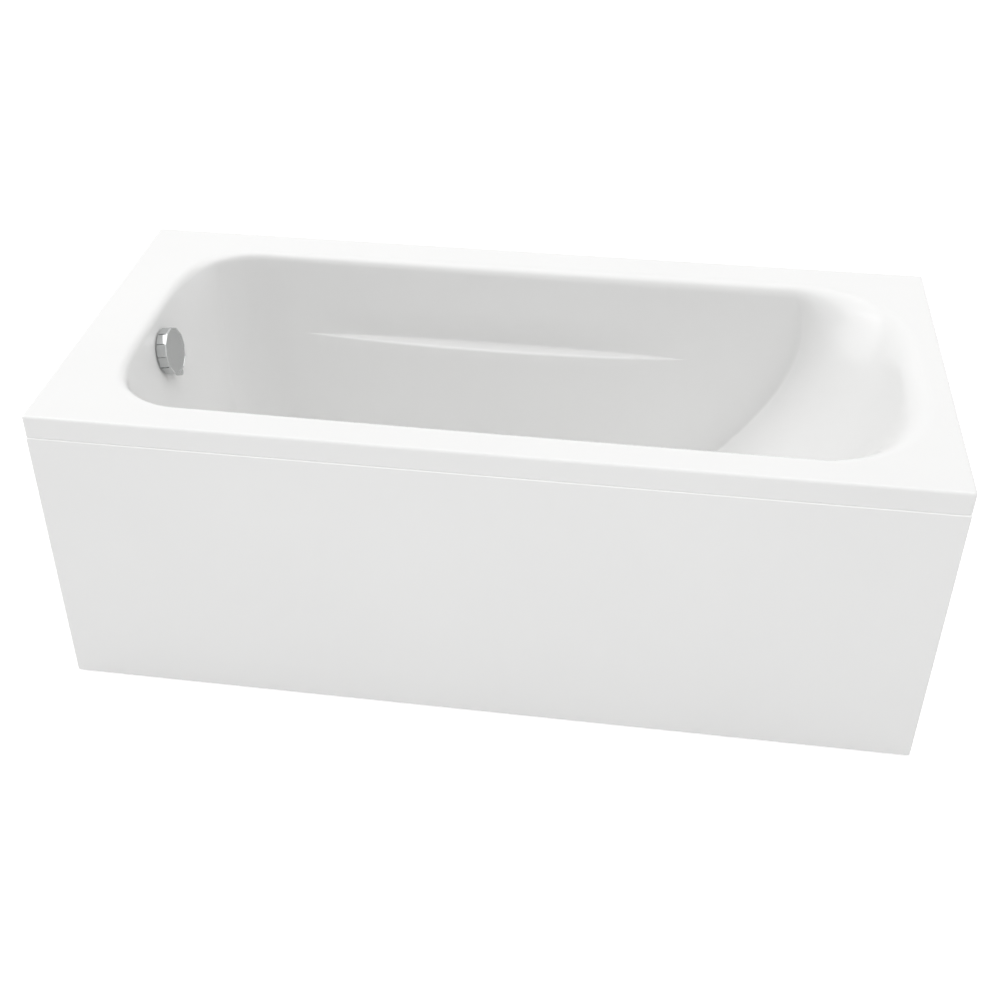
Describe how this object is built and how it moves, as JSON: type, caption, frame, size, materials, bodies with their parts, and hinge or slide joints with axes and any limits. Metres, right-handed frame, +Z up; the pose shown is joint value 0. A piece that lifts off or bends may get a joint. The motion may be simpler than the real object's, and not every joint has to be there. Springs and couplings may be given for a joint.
{
  "type": "alcove bathtub",
  "caption": "White straight bath with a sloping scooped back, rounded foot end, arm ledges in the side walls, overflow knob, pop-up plug, front panel and adjustable feet.",
  "frame": {"origin": "on the floor under the middle of the tub", "axes": "+X towards the sloping head end, -Y towards the room (front panel), +Z up"},
  "size_m": [1.5, 0.7, 0.565],
  "materials": {
    "white_acrylic": "glossy white acrylic, grey glass fibre bonded to the hidden side",
    "panel_acrylic": "glossy white moulded panel",
    "timber": "planed softwood",
    "chipboard": "raw chipboard",
    "zinc_steel": "zinc plated",
    "black_plastic": "moulded, fine matt",
    "chrome": "polished chrome plate",
    "brass": "turned brass",
    "rubber": "soft black rubber",
    "white_fittings": "moulded white polypropylene",
    "grey_cable": "sheathed cable"
  },
  "bodies": {
    "bath": {"back_rim_batten": "timber", "base_board": "chipboard", "base_board_screws": "zinc_steel", "bath_shell": "white_acrylic", "bowden_cable": "grey_cable", "bracket_screws": "zinc_steel", "centre_foot_socket": "zinc_steel", "clip_screws": "zinc_steel", "faceplate_screws": "zinc_steel", "foot_end_cross_bar": "zinc_steel", "foot_lock_nuts": "zinc_steel", "front_rim_batten": "timber", "head_end_cross_bar": "zinc_steel", "lever_pin": "brass", "lower_pipe_nut": "white_fittings", "overflow_elbow": "white_fittings", "overflow_faceplate": "white_fittings", "overflow_pipe": "white_fittings", "overflow_seal": "rubber", "panel_clips": "zinc_steel", "panel_support_brackets": "zinc_steel", "trap_body": "white_fittings", "trap_cleaning_cap": "white_fittings", "trap_inlet_nut": "white_fittings", "trap_outlet_nut": "white_fittings", "upper_pipe_nut": "white_fittings", "wall_bracket_screws": "zinc_steel", "wall_brackets": "zinc_steel", "waste_body": "white_fittings", "waste_flange": "chrome", "waste_lower_seal": "rubber", "waste_upper_seal": "rubber"},
    "knob": {"overflow_knob": "chrome", "overflow_spindle": "brass", "cable_crank": "white_fittings"},
    "plug": {"plug": "chrome", "plug_seal": "rubber", "plug_stem": "brass"},
    "lever": {"lift_lever": "brass"},
    "panel": {"front_panel": "panel_acrylic", "panel_stiffener": "timber"},
    "foot_end_front_foot": {"foot_end_front_foot_stud": "zinc_steel", "foot_end_front_foot_pad": "black_plastic"},
    "foot_end_back_foot": {"foot_end_back_foot_stud": "zinc_steel", "foot_end_back_foot_pad": "black_plastic"},
    "head_end_front_foot": {"head_end_front_foot_stud": "zinc_steel", "head_end_front_foot_pad": "black_plastic"},
    "head_end_back_foot": {"head_end_back_foot_stud": "zinc_steel", "head_end_back_foot_pad": "black_plastic"},
    "centre_foot": {"centre_foot_stud": "zinc_steel", "centre_foot_pad": "black_plastic"}
  },
  "joints": [
    {"name": "knob_turn", "type": "hinge", "parent": "bath", "child": "knob", "pos_m": [-0.63048, -0.007, 0.495], "axis": [-0.9859, 0, -0.1676], "range_deg": [0, 90]},
    {"name": "plug_lift", "type": "slide", "parent": "bath", "child": "plug", "axis": [0, 0, 1], "range_m": [0, 0.01]},
    {"name": "lever_swing", "type": "hinge", "parent": "bath", "child": "lever", "pos_m": [-0.45, -0.025, 0.0982], "axis": [1, 0, 0], "range_deg": [0, 32.5]},
    {"name": "panel_release", "type": "slide", "parent": "bath", "child": "panel", "axis": [0, -1, 0], "range_m": [0, 0.12]},
    {"name": "foot_end_front_foot_adjust", "type": "slide", "parent": "bath", "child": "foot_end_front_foot", "axis": [0, 0, -1], "range_m": [0, 0.025]},
    {"name": "foot_end_back_foot_adjust", "type": "slide", "parent": "bath", "child": "foot_end_back_foot", "axis": [0, 0, -1], "range_m": [0, 0.025]},
    {"name": "head_end_front_foot_adjust", "type": "slide", "parent": "bath", "child": "head_end_front_foot", "axis": [0, 0, -1], "range_m": [0, 0.025]},
    {"name": "head_end_back_foot_adjust", "type": "slide", "parent": "bath", "child": "head_end_back_foot", "axis": [0, 0, -1], "range_m": [0, 0.025]},
    {"name": "centre_foot_adjust", "type": "slide", "parent": "bath", "child": "centre_foot", "axis": [0, 0, -1], "range_m": [0, 0.025]}
  ],
  "couplings": [
    {"joint": "plug_lift", "follows": "knob_turn", "m_per_rad": 0.006366},
    {"joint": "lever_swing", "follows": "knob_turn", "ratio": 0.3611}
  ]
}
